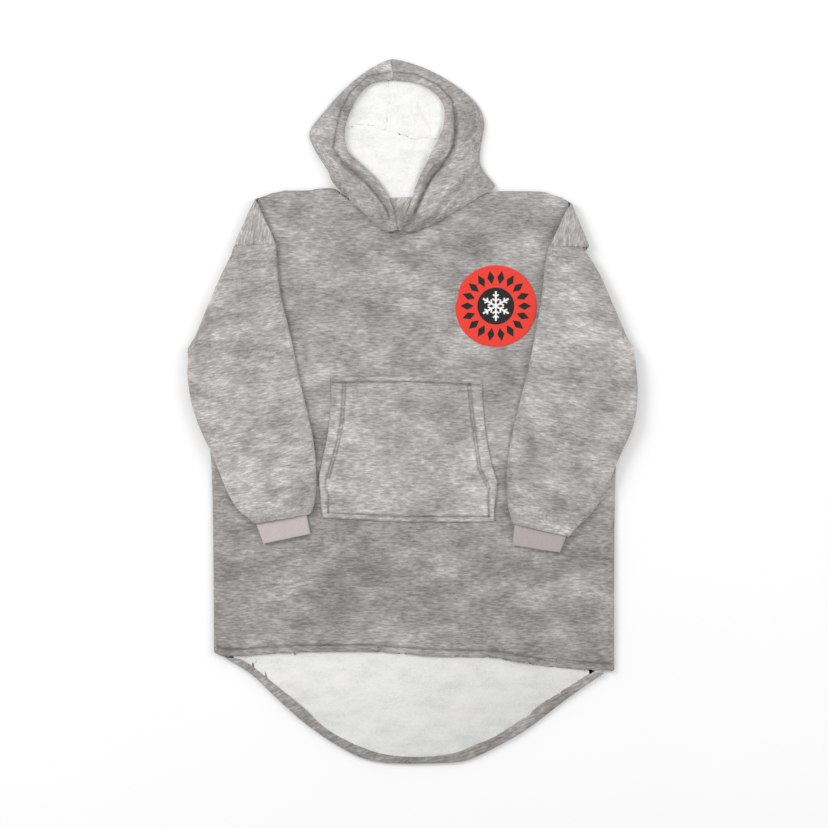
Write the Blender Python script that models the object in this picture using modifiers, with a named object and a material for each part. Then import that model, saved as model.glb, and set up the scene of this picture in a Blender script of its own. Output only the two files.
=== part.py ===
"""Wearable blanket hoodie, laid flat on its back with both sleeves folded over the front.

The origin is on the surface that the garment lies on, under the middle of its outline.
+X is the right of the laid garment, +Y runs from the tail to the hood and +Z is up.
Lengths in the tables are millimetres, and everything is scaled to metres when a mesh is made.
"""

import math

import bmesh
import bpy
import numpy as np

for old in list(bpy.data.objects):
    bpy.data.objects.remove(old, do_unlink=True)
GARMENT = bpy.data.collections.new("wearable_blanket_hoodie")
bpy.context.scene.collection.children.link(GARMENT)

MM = 0.001

# Cloth thicknesses and the gap that is kept at seams and between layers.
BACK_T = 2.5
LINING_T = 3.2
FRONT_T = 5.0
SLEEVE_T = 4.4
HOOD_T = 3.0
POCKET_T = 3.0
PATCH_T = 1.0
CUFF_T = 3.0
CUFF_HALF = 4.4
GAP = 0.3

# Levels of the stack, from the surface up.
LINING_Z = BACK_T + GAP
FRONT_Z = LINING_Z + LINING_T + GAP
STACK = FRONT_Z + FRONT_T

# The sleeves and the dropped shoulders turn over about a line at this height.
FOLD_Z = STACK + 0.4
FOLD_R = FOLD_Z - STACK / 2
FOLD_ARC = math.pi * FOLD_R

# Fold lines: a point on the line, and the way out of the body.
FOLDS = {
    "left": dict(at=(-275.0, 374.0), out=(-0.9090, 0.4167)),
    "right": dict(at=(278.0, 364.0), out=(0.9198, 0.3923)),
}

# Plan outlines of the body, as x and y.
NECK_LEFT = (-143, 402)
NECK_RIGHT = (158, 397)
SHOULDER = {
    "left": [NECK_LEFT, (-166, 399), (-231, 398), (-256, 393), (-275, 384)],
    "right": [NECK_RIGHT, (185, 397), (240, 396), (262, 389), (280, 376)],
}
ARMHOLE_TURN = {"left": (-312.8, 289.4), "right": (310.6, 288.0)}
ARMHOLE = {
    "left": [(-314, 287), (-316, 240), (-330, 190), (-356, 145), (-388, 117)],
    "right": [(312, 285), (314, 240), (330, 190), (360, 145), (392, 117)],
}
SIDE = {
    "left": [(-386, 115), (-374, 19), (-363, -89), (-359, -269), (-358, -436)],
    "right": [(390, 115), (377, 19), (367, -89), (364, -269), (364, -469)],
}
FRONT_NECK = [
    NECK_LEFT, (-108, 380), (-70, 349), (-41, 331), (-12, 333),
    (26, 337), (66, 357), (102, 379), (122, 390), NECK_RIGHT,
]
BACK_NECK = [NECK_LEFT, (-120, 399), (0, 399), (130, 398), NECK_RIGHT]
FRONT_HEM = [
    (-358, -436), (-339, -443), (-307, -443), (-206, -436), (-80, -435),
    (33, -443), (158, -447), (226, -460), (309, -467), (364, -469),
]
TAIL_EDGE = [
    (-340, -445), (-294, -472), (-256, -508), (-206, -554), (-156, -591), (-110, -618),
    (-76, -631), (-30, -636), (33, -636), (96, -632), (132, -616), (192, -584),
    (233, -555), (267, -528), (309, -498), (336, -479), (348, -473),
]
TAIL_INSIDE = [
    (-309, -446), (-282, -465), (-241, -498), (-186, -543), (-165, -566), (-127, -590),
    (-71, -614), (-30, -622), (14, -624), (46, -622), (87, -614), (110, -602),
    (143, -590), (197, -555), (242, -520), (294, -490), (319, -472),
]

# Sleeve edges as they show on the folded sleeve: the top of the arm and the underarm seam.
SLEEVE_TOP = {
    "left": [(-246, 302), (-244, 253), (-237, 199), (-222, 145), (-204, 55),
             (-180, -44), (-174, -94), (-174, -136), (-177, -166), (-186, -181)],
    "right": [(247, 298), (240, 267), (235, 217), (228, 172), (212, 87),
              (195, 19), (179, -44), (170, -107), (172, -170), (183, -199)],
}
SLEEVE_UNDER = {
    "left": [(-404, 98), (-408, 76), (-406, 55), (-400, 12), (-393, -10),
             (-375, -53), (-362, -76), (-338, -140), (-318, -177), (-285, -199)],
    "right": [(399, 98), (404, 76), (408, 33), (407, 12), (399, -32),
              (377, -75), (366, -100), (350, -145), (327, -181), (284, -222)],
}
CUFF = {
    "left": dict(top_in=(-190, -186), top_out=(-282, -204), end_in=(-183, -222), end_out=(-269, -240)),
    "right": dict(top_in=(183, -203), top_out=(278, -225), end_in=(179, -242), end_out=(266, -256)),
}

POCKET_LEFT = [(-147, 60), (-147, 15), (-151, -35), (-159, -73), (-170, -122),
               (-167, -142), (-166, -172), (-162, -194)]
POCKET_RIGHT = [(125, 56), (128, -4), (136, -64), (145, -104), (156, -136),
                (150, -154), (148, -179), (148, -201)]
PATCH_AT = (150, 188)
PATCH_R = 74.0

# Hood: one row for each section from the crown round to the neck. Each section runs
# from the rim over the fold beside it and the roll to the outer edge, then under to its end.
# columns: rim x, rim y, rim z, fold x, y, z, roll x, y, z, edge x, y, z, end x, y, z
HOOD_LEFT = [
    (-37, 593, 15, -37, 609, 14, -39, 624, 12, -39, 635, 6, -37, 618, 0),
    (-69, 592, 16, -80, 602, 15, -82, 607, 13, -82, 613, 6, -37, 595, 0),
    (-98, 566, 19, -112, 573, 17, -121, 575, 15, -127, 575, 7, -37, 566, 0),
    (-112, 536, 22, -130, 536, 18, -145, 537, 18, -158, 537, 8, -37, 536, 0),
    (-122, 505, 23, -137, 505, 17, -160, 505, 20, -183, 504, 9, -37, 500, 0),
    (-118, 467, 24, -143, 471, 15, -160, 478, 22, -179, 482, 10, -37, 458, 0),
    (-93, 446, 25, -124, 444, 14, -145, 449, 27, -165, 454, 12, -44, 425, 0),
    (-66, 418, 25, -92, 418, 14, -122, 421, 30, -149, 427, 13, -84, 404, 0),
    (-46, 392, 25, -66, 392, 15, -100, 398, 31, -144, 409, 13, -122, 403, 4),
    (-36, 366, 24, -49, 367, 16, -78, 372, 31, -106, 374, 19, -95, 378, 12),
    (-31, 346, 23, -41, 346, 17, -60, 347, 28, -76, 343, 19, -65, 348, 12),
    (-26, 325, 19, -32, 323, 17, -39, 321, 19, -46, 320, 16, -41, 325, 12),
]
HOOD_RIGHT = [
    (-35, 593, 15, -35, 609, 14, -36, 624, 12, -36, 635, 6, -35, 618, 0),
    (-1, 592, 16, 6, 605, 15, 10, 613, 13, 12, 622, 6, -35, 595, 0),
    (33, 577, 19, 46, 586, 17, 55, 592, 15, 62, 596, 7, -35, 566, 0),
    (55, 552, 23, 71, 560, 14, 90, 563, 17, 110, 557, 8, -35, 536, 0),
    (58, 526, 25, 76, 526, 13, 100, 527, 22, 125, 522, 9, -35, 500, 0),
    (51, 498, 27, 77, 498, 16, 98, 497, 24, 122, 494, 10, -35, 462, 0),
    (35, 467, 28, 71, 468, 15, 92, 466, 29, 117, 464, 11, -30, 428, 0),
    (22, 440, 28, 52, 440, 14, 83, 438, 31, 121, 434, 10, 21, 404, 0),
    (8, 411, 27, 32, 414, 15, 62, 416, 31, 149, 405, 8, 122, 404, 1),
    (-1, 381, 26, 16, 384, 16, 44, 390, 30, 126, 391, 14, 119, 394, 12),
    (-10, 356, 25, 4, 357, 18, 28, 360, 28, 76, 357, 14, 70, 362, 12),
    (-23, 322, 23, -15, 321, 20, -5, 320, 21, 12, 322, 14, 8, 327, 12),
]
HOOD_SECTIONS = 19
HOOD_PLACES = np.array([0, 1, 1.5, 2, 2.35, 2.7, 3, 3.3, 3.65, 4, 4.35, 4.7, 5, 5.5, 6])

# The hood's face opening, as half widths about its middle line at heights up the hood.
BOWL_X = -30
BOWL_FLOOR = 6.6
BOWL_Y = [325, 345, 366, 392, 418, 446, 467, 505, 536, 566, 592, 594]
FACING_SIDES = [[(-44, 383), (-30, 337)], [(-3, 385), (-21, 337)]]
BOWL_HALF = [5, 12, 20, 28, 42, 62, 78, 90, 84, 66, 36, 0]


def smooth(x):
    x = np.clip(x, 0.0, 1.0)
    return x * x * (3.0 - 2.0 * x)


def spline(points, count):
    """A curve through the points, as count points that are close together."""
    return spline_at(points, np.linspace(0, len(points) - 1, count))


def spline_at(points, at):
    """The curve's points at these places, where a whole number is one of its own points."""
    p = np.asarray(points, float)
    ends = np.vstack([2 * p[0] - p[1], p, 2 * p[-1] - p[-2]])
    i = np.minimum(at.astype(int), len(p) - 2)
    t = (at - i)[:, None]
    a, b, c, d = (ends[i + k] for k in range(4))
    return 0.5 * (2 * b + (c - a) * t + (2 * a - 5 * b + 4 * c - d) * t**2
                  + (3 * b - a - 3 * c + d) * t**3)


def along(points, fractions, curved=True):
    """Points at these fractions of a curve's length."""
    p = spline(points, 40 * len(points)) if curved and len(points) > 2 else np.asarray(points, float)
    run = np.concatenate([[0], np.cumsum(np.linalg.norm(np.diff(p, axis=0), axis=1))])
    at = np.asarray(fractions) * run[-1]
    return np.stack([np.interp(at, run, p[:, k]) for k in range(p.shape[1])], axis=1)


def even(n):
    return np.linspace(0, 1, n + 1)


def patch(top, bottom, left, right):
    """A grid of plan points between four curves, in rows from top to bottom."""
    run = np.linalg.norm(top - top[0], axis=1) / np.linalg.norm(top[-1] - top[0])
    drop = np.abs(left[:, 1] - left[0, 1]) / abs(left[-1, 1] - left[0, 1])
    s, t = drop[:, None, None], np.clip(run, 0, 1)[None, :, None]
    ruled = (1 - s) * top[None] + s * bottom[None]
    across = (1 - t) * left[:, None] + t * right[:, None]
    corners = ((1 - s) * ((1 - t) * top[0] + t * top[-1])
               + s * ((1 - t) * bottom[0] + t * bottom[-1]))
    return ruled + across - corners


def distance(plan, line):
    """How far each plan point is from a line of points."""
    p, q = np.asarray(plan)[:, None, :2], np.asarray(line, float)
    a, d = q[:-1][None], np.diff(q, axis=0)[None]
    t = np.clip(((p - a) * d).sum(-1) / np.maximum((d * d).sum(-1), 1e-9), 0, 1)
    return np.linalg.norm(p - a - t[..., None] * d, axis=-1).min(axis=1)


def beyond(plan, side):
    """How far each plan point lies past a fold line, negative on the body's side."""
    fold = FOLDS[side]
    return (np.asarray(plan)[..., :2] - fold["at"]) @ np.array(fold["out"])


def unfold(shown, side):
    """Where points of the turned-over cloth lie when it is opened out flat."""
    out = np.array(FOLDS[side]["out"])
    past = beyond(shown, side)[:, None]
    return np.asarray(shown, float) + out * (FOLD_ARC - 2 * past)


def folded(points):
    """Opened-out points laid as the garment lies: the cloth past a fold line turned over."""
    result = np.array(points, float)
    for side, fold in FOLDS.items():
        out = np.array(fold["out"])
        past = beyond(result, side)
        over = past > 0
        radius = FOLD_Z - result[over, 2]
        angle = np.clip(past[over] / FOLD_R, 0, math.pi)
        back = np.maximum(past[over] - FOLD_ARC, 0)
        shift = radius * np.sin(angle) - back - past[over]
        result[over, :2] += out * shift[:, None]
        result[over, 2] = FOLD_Z - radius * np.cos(angle)
    return result


def finish(obj, colour, roughness):
    """A material of its own, smooth shading, and a place in the garment's collection."""
    material = bpy.data.materials.new(obj.name)
    material.use_nodes = True
    shader = material.node_tree.nodes["Principled BSDF"]
    shader.inputs["Base Color"].default_value = (*colour, 1.0)
    shader.inputs["Roughness"].default_value = roughness
    shader.inputs["Metallic"].default_value = 0.0
    obj.data.materials.append(material)
    obj.data.shade_smooth()
    GARMENT.objects.link(obj)
    return obj


def made(name, points, faces, colour, roughness=0.95):
    """An object from points in millimetres and the faces of a loft."""
    mesh = bmesh.new()
    verts = [mesh.verts.new([c * MM for c in p]) for p in points]
    for face in faces:
        mesh.faces.new([verts[i] for i in face])
    bmesh.ops.recalc_face_normals(mesh, faces=mesh.faces[:])
    if mesh.calc_volume(signed=True) < 0:
        bmesh.ops.reverse_faces(mesh, faces=mesh.faces[:])
    data = bpy.data.meshes.new(name)
    mesh.to_mesh(data)
    mesh.free()
    return finish(bpy.data.objects.new(name, data), colour, roughness)


def joined_grids(grids):
    """The plan points and faces of grids that share an edge, with the shared points once."""
    index, plan, faces = {}, [], []
    for grid in grids:
        grid = np.round(grid, 2)
        ids = np.empty(grid.shape[:2], int)
        for r, row in enumerate(grid):
            for c, point in enumerate(row):
                key = (round(point[0], 1), round(point[1], 1))
                if key not in index:
                    index[key] = len(plan)
                    plan.append(point)
                ids[r, c] = index[key]
        for r in range(ids.shape[0] - 1):
            for c in range(ids.shape[1] - 1):
                loop = [ids[r, c], ids[r + 1, c], ids[r + 1, c + 1], ids[r, c + 1]]
                face = [v for k, v in enumerate(loop) if v != loop[k - 1]]
                if len(set(face)) > 2:
                    x, y = np.array([plan[v][:2] for v in face]).T
                    facing = (x * np.roll(y, -1) - y * np.roll(x, -1)).sum()
                    faces.append(face if facing > 0 else face[::-1])
    return np.array(plan), faces


def slab(name, grids, low, high, colour, lay=None):
    """A closed sheet of cloth between two heights over a plan."""
    plan, faces = joined_grids(grids)
    n = len(plan)
    under, over = (np.column_stack([plan, height(plan)]) for height in (low, high))
    if lay:
        under, over = lay(under), lay(over)
    edges = {}
    for face in faces:
        for k, a in enumerate(face):
            edges[(face[k - 1], a)] = True
    walls = [(a, b, b + n, a + n) for a, b in edges if (b, a) not in edges]
    shell = [tuple(f) for f in faces] + [tuple(v + n for v in reversed(f)) for f in faces]
    return made(name, np.vstack([over, under]), shell + walls, colour)


def tube(name, outer, inner, colour):
    """An open-ended tube of cloth between an outer and an inner set of rings."""
    rings, around = outer.shape[:2]
    n = rings * around
    faces = []
    for r in range(rings - 1):
        for k in range(around):
            a, b = r * around + k, r * around + (k + 1) % around
            c, d = b + around, a + around
            faces += [(a, b, c, d), (n + d, n + c, n + b, n + a)]
    for r in (0, rings - 1):
        for k in range(around):
            a, b = r * around + k, r * around + (k + 1) % around
            faces.append((a, b, n + b, n + a) if r else (b, a, n + a, n + b))
    points = np.vstack([outer.reshape(-1, 3), inner.reshape(-1, 3)])
    return made(name, points, faces, colour)


def strip(name, rings, colour):
    """A solid strip lofted through closed sections, with flat ends."""
    count, around = rings.shape[:2]
    faces = []
    for r in range(count - 1):
        for k in range(around):
            a, b = r * around + k, r * around + (k + 1) % around
            faces.append((a, b, b + around, a + around))
    faces.append(tuple(reversed(range(around))))
    faces.append(tuple(range((count - 1) * around, count * around)))
    return made(name, rings.reshape(-1, 3), faces, colour)


def shell(name, grid, thickness, colour):
    """An open surface of cloth with Solidify, which thickens it to the inside."""
    rows, cols = grid.shape[:2]
    faces = [(r * cols + c, r * cols + c + 1, (r + 1) * cols + c + 1, (r + 1) * cols + c)
             for r in range(rows - 1) for c in range(cols - 1)]
    obj = made(name, grid.reshape(-1, 3), faces, colour)
    if obj.data.polygons[cols // 3].normal.z < 0:
        obj.data.flip_normals()
    solid = obj.modifiers.new("thickness", "SOLIDIFY")
    solid.thickness = thickness * MM
    solid.offset = -1.0
    return obj


GREY = (0.36, 0.34, 0.33)
SLEEVE_GREY = (0.42, 0.40, 0.39)
WHITE = (0.83, 0.82, 0.79)
RIB = (0.52, 0.45, 0.44)
RED = (0.78, 0.05, 0.03)


# The body: a main patch, and past each fold line a wing that turns over with the sleeve.
BODY_COLUMNS = np.array([0, 2.5, 7, 14, 60, 115, 170, 214, 260, 298, 335, 386, 438, 487, 508, 558,
                         610, 660, 702, 709, 713.5, 716])
HEM_ROWS = 1 - np.array([14, 11, 3, 0]) / 560
WING_ROWS = np.array([0, 0.2, 0.4, 0.57, 0.7, 0.8, 0.88, 0.95, 1])


def side_line(side, bottom):
    """The body's edge from the fold at the shoulder down to the hem, at the rows' places."""
    turn = along([SHOULDER[side][-1], ARMHOLE_TURN[side]], WING_ROWS, curved=False)
    arm = along([ARMHOLE_TURN[side]] + ARMHOLE[side][1:-1] + [SIDE[side][0]], even(7))
    seam = SIDE[side][:-1] + [bottom]
    rows = np.concatenate([np.linspace(0, 0.93, 11), HEM_ROWS])
    return np.vstack([turn, arm[1:], along(seam, rows)[1:]])


def wing(side):
    """The dropped shoulder past the fold line, in rows from the shoulder seam down."""
    inner = along([SHOULDER[side][-1], ARMHOLE_TURN[side]], WING_ROWS, curved=False)
    outer = along([TIP[side], ARMHOLE_TURN[side]], WING_ROWS, curved=False)
    steps = np.array([0, 5, 10, 15, 20, 28, 45, 62, 70, 76]) / 76
    return inner[:, None] * (1 - steps[None, :, None]) + outer[:, None] * steps[None, :, None]


def body(top, bottom):
    """The plan grids of a whole panel, between a neckline and a hem."""
    columns = BODY_COLUMNS / BODY_COLUMNS[-1]
    left, right = side_line("left", bottom[0]), side_line("right", bottom[-1])
    curve = SHOULDER["left"][:0:-1] + top + SHOULDER["right"][1:]
    x = left[0, 0] + (right[0, 0] - left[0, 0]) * columns
    upper = np.column_stack([x, np.interp(x, *np.transpose(curve))])
    upper[0], upper[-1] = left[0], right[0]
    lower = along(bottom, columns)
    return [patch(upper, lower, left, right), wing("left"), wing("right")]


TIP = {side: unfold([SLEEVE_TOP[side][0]], side)[0] for side in FOLDS}
SEAM_EDGES = [spline(SIDE[side], 120) for side in FOLDS]
TOP_EDGES = [SHOULDER[side] + [tuple(TIP[side])] for side in FOLDS]


def edge_near(plan):
    return np.min([distance(plan, line) for line in SEAM_EDGES + TOP_EDGES], axis=0)


def body_dome(plan):
    """The soft rise of the laid front between the sleeves."""
    x, y = plan[:, 0], plan[:, 1]
    rise = np.clip(1 - (x / 215) ** 2, 0, 1) ** 2
    ends = smooth((290 - y) / 90) * smooth((y + 440) / 60)
    return 2.4 * rise * ends


def front_high(plan):
    near = np.minimum(edge_near(plan) / 14, 1)
    sides = 6.0 * (1 - np.sqrt(1 - (1 - near) ** 2))
    hem = np.minimum(distance(plan, spline(FRONT_HEM, 200)) / 5, 1)
    ends = 2.6 * (1 - np.sqrt(1 - (1 - hem) ** 2))
    doubled = 0.7 * smooth((13 - distance(plan, spline(FRONT_HEM, 200))) / 3)
    return STACK + body_dome(plan) - np.maximum(sides, ends) + doubled


def front_low(plan):
    near = smooth((edge_near(plan) - 2.4) / 4.4)
    turned = np.max([smooth((beyond(plan, side) + 25) / 20) for side in FOLDS], axis=0)
    return LINING_Z + (FRONT_Z - LINING_Z) * np.maximum(near, turned * (plan[:, 1] > 200))


def back_high(plan):
    return np.full(len(plan), BACK_T)


def back_low(plan):
    """Flat on the surface, with the doubled shoulder seam raised on the turned-over part."""
    turned = np.max([smooth((beyond(plan, s) - FOLD_ARC * 0.6) / 12) for s in FOLDS], axis=0)
    seam = np.min([distance(plan, line) for line in TOP_EDGES], axis=0)
    ridge = 1.6 * np.exp(-(((seam - 6) / 3.5) ** 2))
    return -ridge * turned


def build_body():
    back_hem = [SIDE["left"][-1]] + TAIL_EDGE + [SIDE["right"][-1]]
    slab("back_panel", body(BACK_NECK, back_hem), back_low, back_high, GREY, folded)
    slab("front_panel", body(FRONT_NECK, FRONT_HEM), front_low, front_high, GREY, folded)


def inset(points, by, inward):
    """The line of points moved sideways by a distance, to the side of the point inward."""
    p = np.asarray(points, float)
    tangent = np.gradient(p, axis=0)
    normal = np.column_stack([-tangent[:, 1], tangent[:, 0]])
    normal /= np.linalg.norm(normal, axis=1)[:, None]
    facing = np.sign(((np.asarray(inward) - p) * normal).sum(axis=1))
    return p + normal * facing[:, None] * by


def lining_high(plan):
    below = np.interp(plan[:, 0], *np.transpose(FRONT_HEM)) - plan[:, 1]
    inside = smooth((distance(plan, spline(TAIL_EDGE, 200)) - 20) / 24)
    return LINING_Z + LINING_T + 2.6 * smooth((below - 9) / 26) * inside


def build_lining():
    tail = inset(spline(TAIL_EDGE, 60), 6.4, (0, 0))
    left, right = (
        np.vstack([[corner], inset(ARMHOLE[side], 22, (0, 100)), inset(SIDE[side], 14, (0, -200))[1:]])
        for side, corner in (("left", (-262, 358)), ("right", (266, 347)))
    )
    left[-1], right[-1] = (-346, -434), (352, -462)
    rows = even(9)
    columns = np.concatenate([[0, 0.02], np.linspace(0.07, 0.93, 14), [0.98, 1]])
    top = [tuple(left[0]), (-231, 369), (-150, 370), (0, 380), (120, 350), (235, 350), tuple(right[0])]
    hem = [(x, y - 2) for x, y in FRONT_HEM[2:-1]]
    hem = [left[-1], (-327, -444)] + hem + [(335, -468), right[-1]]
    hem = along(hem, columns)
    grid = patch(along(top, columns), hem, along(left, rows), along(right, rows))
    ends = np.array([left[-1] + (3, -3), right[-1] + (-3, -3)])
    lower = along([ends[0]] + list(tail[5:-5:3]) + [ends[1]], columns)
    rows = np.array([0, 0.04, 0.1, 0.18, 0.35, 0.55, 0.77, 0.88, 1])[:, None]
    sides = [a * (1 - rows) + b * rows for a, b in zip((hem[0], hem[-1]), ends)]
    tail_grid = patch(hem, lower, *sides)
    slab("back_lining", [grid, tail_grid], lambda p: np.full(len(p), LINING_Z), lining_high, WHITE)


def build_tail_hem():
    """The back's edge turned up over the lining, as a strip of curled sections."""
    count = 38
    outer, inner = along(TAIL_EDGE, even(count)), along(TAIL_INSIDE, even(count))
    section = [  # share of the width in from the edge (or mm), height over the surface
        (0.0, LINING_Z), (4.6, LINING_Z), (5.0, 6.5), ("in", 6.5), ("in", 8.2),
        (9.0, 8.9), (4.0, 8.6), (1.2, 7.0), (0.0, 5.0),
    ]
    rings = []
    for a, b in zip(outer, inner):
        width = np.linalg.norm(b - a)
        ring = []
        for place, height in section:
            share = 1.0 if place == "in" else min(place / width, 0.8)
            ring.append([*(a + (b - a) * share), height])
        rings.append(ring)
    strip("tail_hem", np.array(rings), GREY)


def build_pocket():
    rows = np.array([0, 0.012, 0.04, 0.13, 0.3, 0.45, 0.6, 0.72, 0.8, 0.9, 0.96, 0.988, 1])
    columns = np.array([0, 0.008, 0.06, 0.16, 0.33, 0.5, 0.67, 0.84, 0.94, 0.992, 1])
    left, right = along(POCKET_LEFT, rows), along(POCKET_RIGHT, rows)
    top = along([left[0], (-10, 62), right[0]], columns)
    bottom = along([left[-1], (-10, -201), right[-1]], columns)
    outline = np.vstack([left, bottom, right[::-1], top[::-1]])

    def high(plan):
        edge = distance(plan, outline)
        round_off = 1.6 * (1 - smooth(edge / 3.0))
        hems = sum(0.6 * smooth((19 - distance(plan, line)) / 3) for line in (left, right))
        swell = 2.0 * smooth(edge / 70)
        return front_high(plan) + GAP + POCKET_T - round_off + hems + swell

    grid = patch(top, bottom, left, right)
    slab("pocket", [grid], lambda p: front_high(p) + GAP, high, SLEEVE_GREY)


def build_patch():
    side = np.linspace(-1, 1, 13)
    u, v = np.meshgrid(side, -side)
    disc = np.stack([u * np.sqrt(1 - v**2 / 2), v * np.sqrt(1 - u**2 / 2)], axis=-1)
    grid = disc * PATCH_R + np.array(PATCH_AT)
    slab("chest_patch", [grid], lambda p: front_high(p) + GAP,
         lambda p: front_high(p) + GAP + PATCH_T, RED)


def ring_places(line, length, side):
    """Shares along a ring's face: from the top of the arm to the fold, round it, and on to the seam."""
    past = beyond(line, side)
    fine = np.linspace(0, 1, len(line))
    first = min(np.interp(-FOLD_ARC, -past, fine), 0.74) if past[0] > FOLD_ARC else 0.0
    last = np.clip(np.interp(0, -past, fine), first + 0.08, 0.90)
    edge = 7 / length
    return np.concatenate([
        [0, edge * 0.14, edge * 0.5], np.linspace(edge * 1.1, first, 8),
        np.linspace(first, last, 8)[1:], last + (1 - edge - last) * np.array([0.5, 1]),
        [1 - edge * 0.5, 1 - edge * 0.14, 1],
    ])


def sleeve(side):
    """A flattened tube from the armhole to the cuff, opened out flat and then folded over."""
    shares = np.concatenate([[0, 0.025, 0.06, 0.1, 0.15], np.linspace(0.21, 0.9, 8), [0.95, 0.98, 1]])
    rings = len(shares)
    top = along(unfold(SLEEVE_TOP[side], side), shares)
    pit = np.array(ARMHOLE[side][-1], float)
    under = along(np.vstack([[pit], unfold(SLEEVE_UNDER[side], side)]), shares)
    armhole = np.vstack([[top[0]], ARMHOLE[side]])
    centre = STACK / 2
    chord = pit - top[0]
    seam_gap = np.array([-chord[1], chord[0]]) / np.linalg.norm(chord)
    seam_gap *= 2.2 * np.sign(seam_gap @ (under[3] - under[0]))
    outer, inner = [], []
    for r in range(rings):
        a, b = top[r], under[r]
        length = np.linalg.norm(b - a)
        chord = (b - a) / length
        follow = np.clip(1 - shares[r] / 0.3, 0, 1) ** 2
        whole = even(300)
        bow = along(armhole, whole, curved=False) - (1 - whole[:, None]) * top[0] - whole[:, None] * pit
        places = ring_places(a + (b - a) * whole[:, None] + bow * follow, length, side)
        for rows, wall in ((outer, 0.0), (inner, SLEEVE_T)):
            here = wall + places * (length - 2 * wall)
            share = (here / length)[:, None]
            bow = along(armhole, share[:, 0], curved=False) - (1 - share) * top[0] - share * pit
            line = a + chord * here[:, None] + bow * follow + seam_gap
            edge = np.minimum(here - wall, length - wall - here)
            radius = 7.0 if wall == 0 else 2.0
            half = (centre - wall) * np.sqrt(np.clip(1 - (1 - np.minimum(edge / radius, 1)) ** 2, 0, 1))
            clear = smooth((beyond(line, side) - FOLD_ARC) / 45) * smooth(edge / 40)
            swell = 3.0 * clear * (1.0 if wall == 0 else 0.25)
            gather = smooth((shares[r] - 0.86) / 0.14) * smooth(edge / 12)
            pleats = 1.3 * gather * np.cos(2 * np.pi * 5.5 * places) * (1.0 if wall == 0 else 0.7)
            low, high = centre - half - swell - pleats, centre + half
            face = np.column_stack([line, low])
            back = np.column_stack([line, high])[-2:0:-1]
            rows.append(np.vstack([face, back]))
    outer, inner = np.array(outer), np.array(inner)
    shape = outer.shape
    outer = folded(outer.reshape(-1, 3)).reshape(shape)
    inner = folded(inner.reshape(-1, 3)).reshape(shape)
    tube(f"sleeve_{side}", outer, inner, SLEEVE_GREY)


def cuff(side):
    """A flattened rib tube below the sleeve's gathered end."""
    at = {key: np.array(value, float) for key, value in CUFF[side].items()}
    middle = STACK + GAP + CUFF_HALF
    outer, inner = [], []
    places = (1 - np.cos(np.pi * even(11))) / 2
    for share in (0.0, 0.08, 0.5, 0.92, 1.0):
        a = at["top_in"] * (1 - share) + at["end_in"] * share
        b = at["top_out"] * (1 - share) + at["end_out"] * share
        length = np.linalg.norm(b - a)
        pinch = 0.5 if share in (0.0, 1.0) else 0.0
        for rows, wall in ((outer, 0.0), (inner, CUFF_T)):
            here = wall + places * (length - 2 * wall)
            line = a + (b - a) * (here / length)[:, None]
            edge = np.minimum(here - wall, length - wall - here)
            thick = CUFF_HALF - (wall if wall == 0 else wall + 0.5) - (pinch if wall == 0 else 0)
            half = thick * np.sqrt(np.clip(1 - (1 - np.minimum(edge / 5, 1)) ** 2, 0, 1))
            rows.append(np.vstack([np.column_stack([line, middle - half]),
                                   np.column_stack([line, middle + half])[-2:0:-1]]))
    tube(f"cuff_{side}", np.array(outer), np.array(inner), RIB)


def hood_grid(table):
    """The hood half's outer surface: sections spread from the table's, each with its steps."""
    rows = np.array(table, float).reshape(len(table), 5, 3)
    rim, fold, roll, edge, end = (spline(rows[:, k], HOOD_SECTIONS) for k in range(5))
    grid = []
    for k in range(HOOD_SECTIONS):
        inward = end[k] - edge[k]
        span = np.linalg.norm(inward[:2])
        step = min(9.0, 0.45 * span) / max(span, 1e-6)
        tuck = edge[k] + inward * step
        tuck[2] = end[k, 2]
        lip = rim[k] + (fold[k] - rim[k]) * 0.45
        lip[2] = max(rim[k, 2], fold[k, 2]) + 0.5
        section = np.array([rim[k], lip, fold[k], roll[k], edge[k], tuck, end[k]])
        grid.append(spline_at(section, HOOD_PLACES))
    grid = np.array(grid)
    grid[..., 2] = np.maximum(grid[..., 2], 0.0)
    return grid


def rim_line(table):
    """The rim of a hood half as x, y and z, from the crown to the neck."""
    return spline(np.array(table, float)[:, :3], 120)


def bowl_high(plan):
    """The hood's lining: a soft hollow that climbs to the rim all round."""
    rims = np.vstack([rim_line(HOOD_LEFT)[::-1], rim_line(HOOD_RIGHT)])
    apart = np.linalg.norm(plan[:, None, :2] - rims[None, :, :2], axis=2)
    rim_z = rims[apart.argmin(axis=1), 2]
    middle = np.abs(plan[:, 0] - BOWL_X)
    near = apart.min(axis=1)
    outside = middle > np.interp(plan[:, 1], BOWL_Y, BOWL_HALF)
    depth = np.where(outside, -near, near)
    climb = smooth(1 - depth / 26)
    floor = BOWL_FLOOR + 3.2 * smooth((424 - plan[:, 1]) / 16) + 2.2 * smooth(depth / 45)
    return floor + (np.minimum(rim_z - 8, 16) - floor) * climb


def bowl_low(plan):
    return bowl_high(plan) - LINING_T


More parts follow.
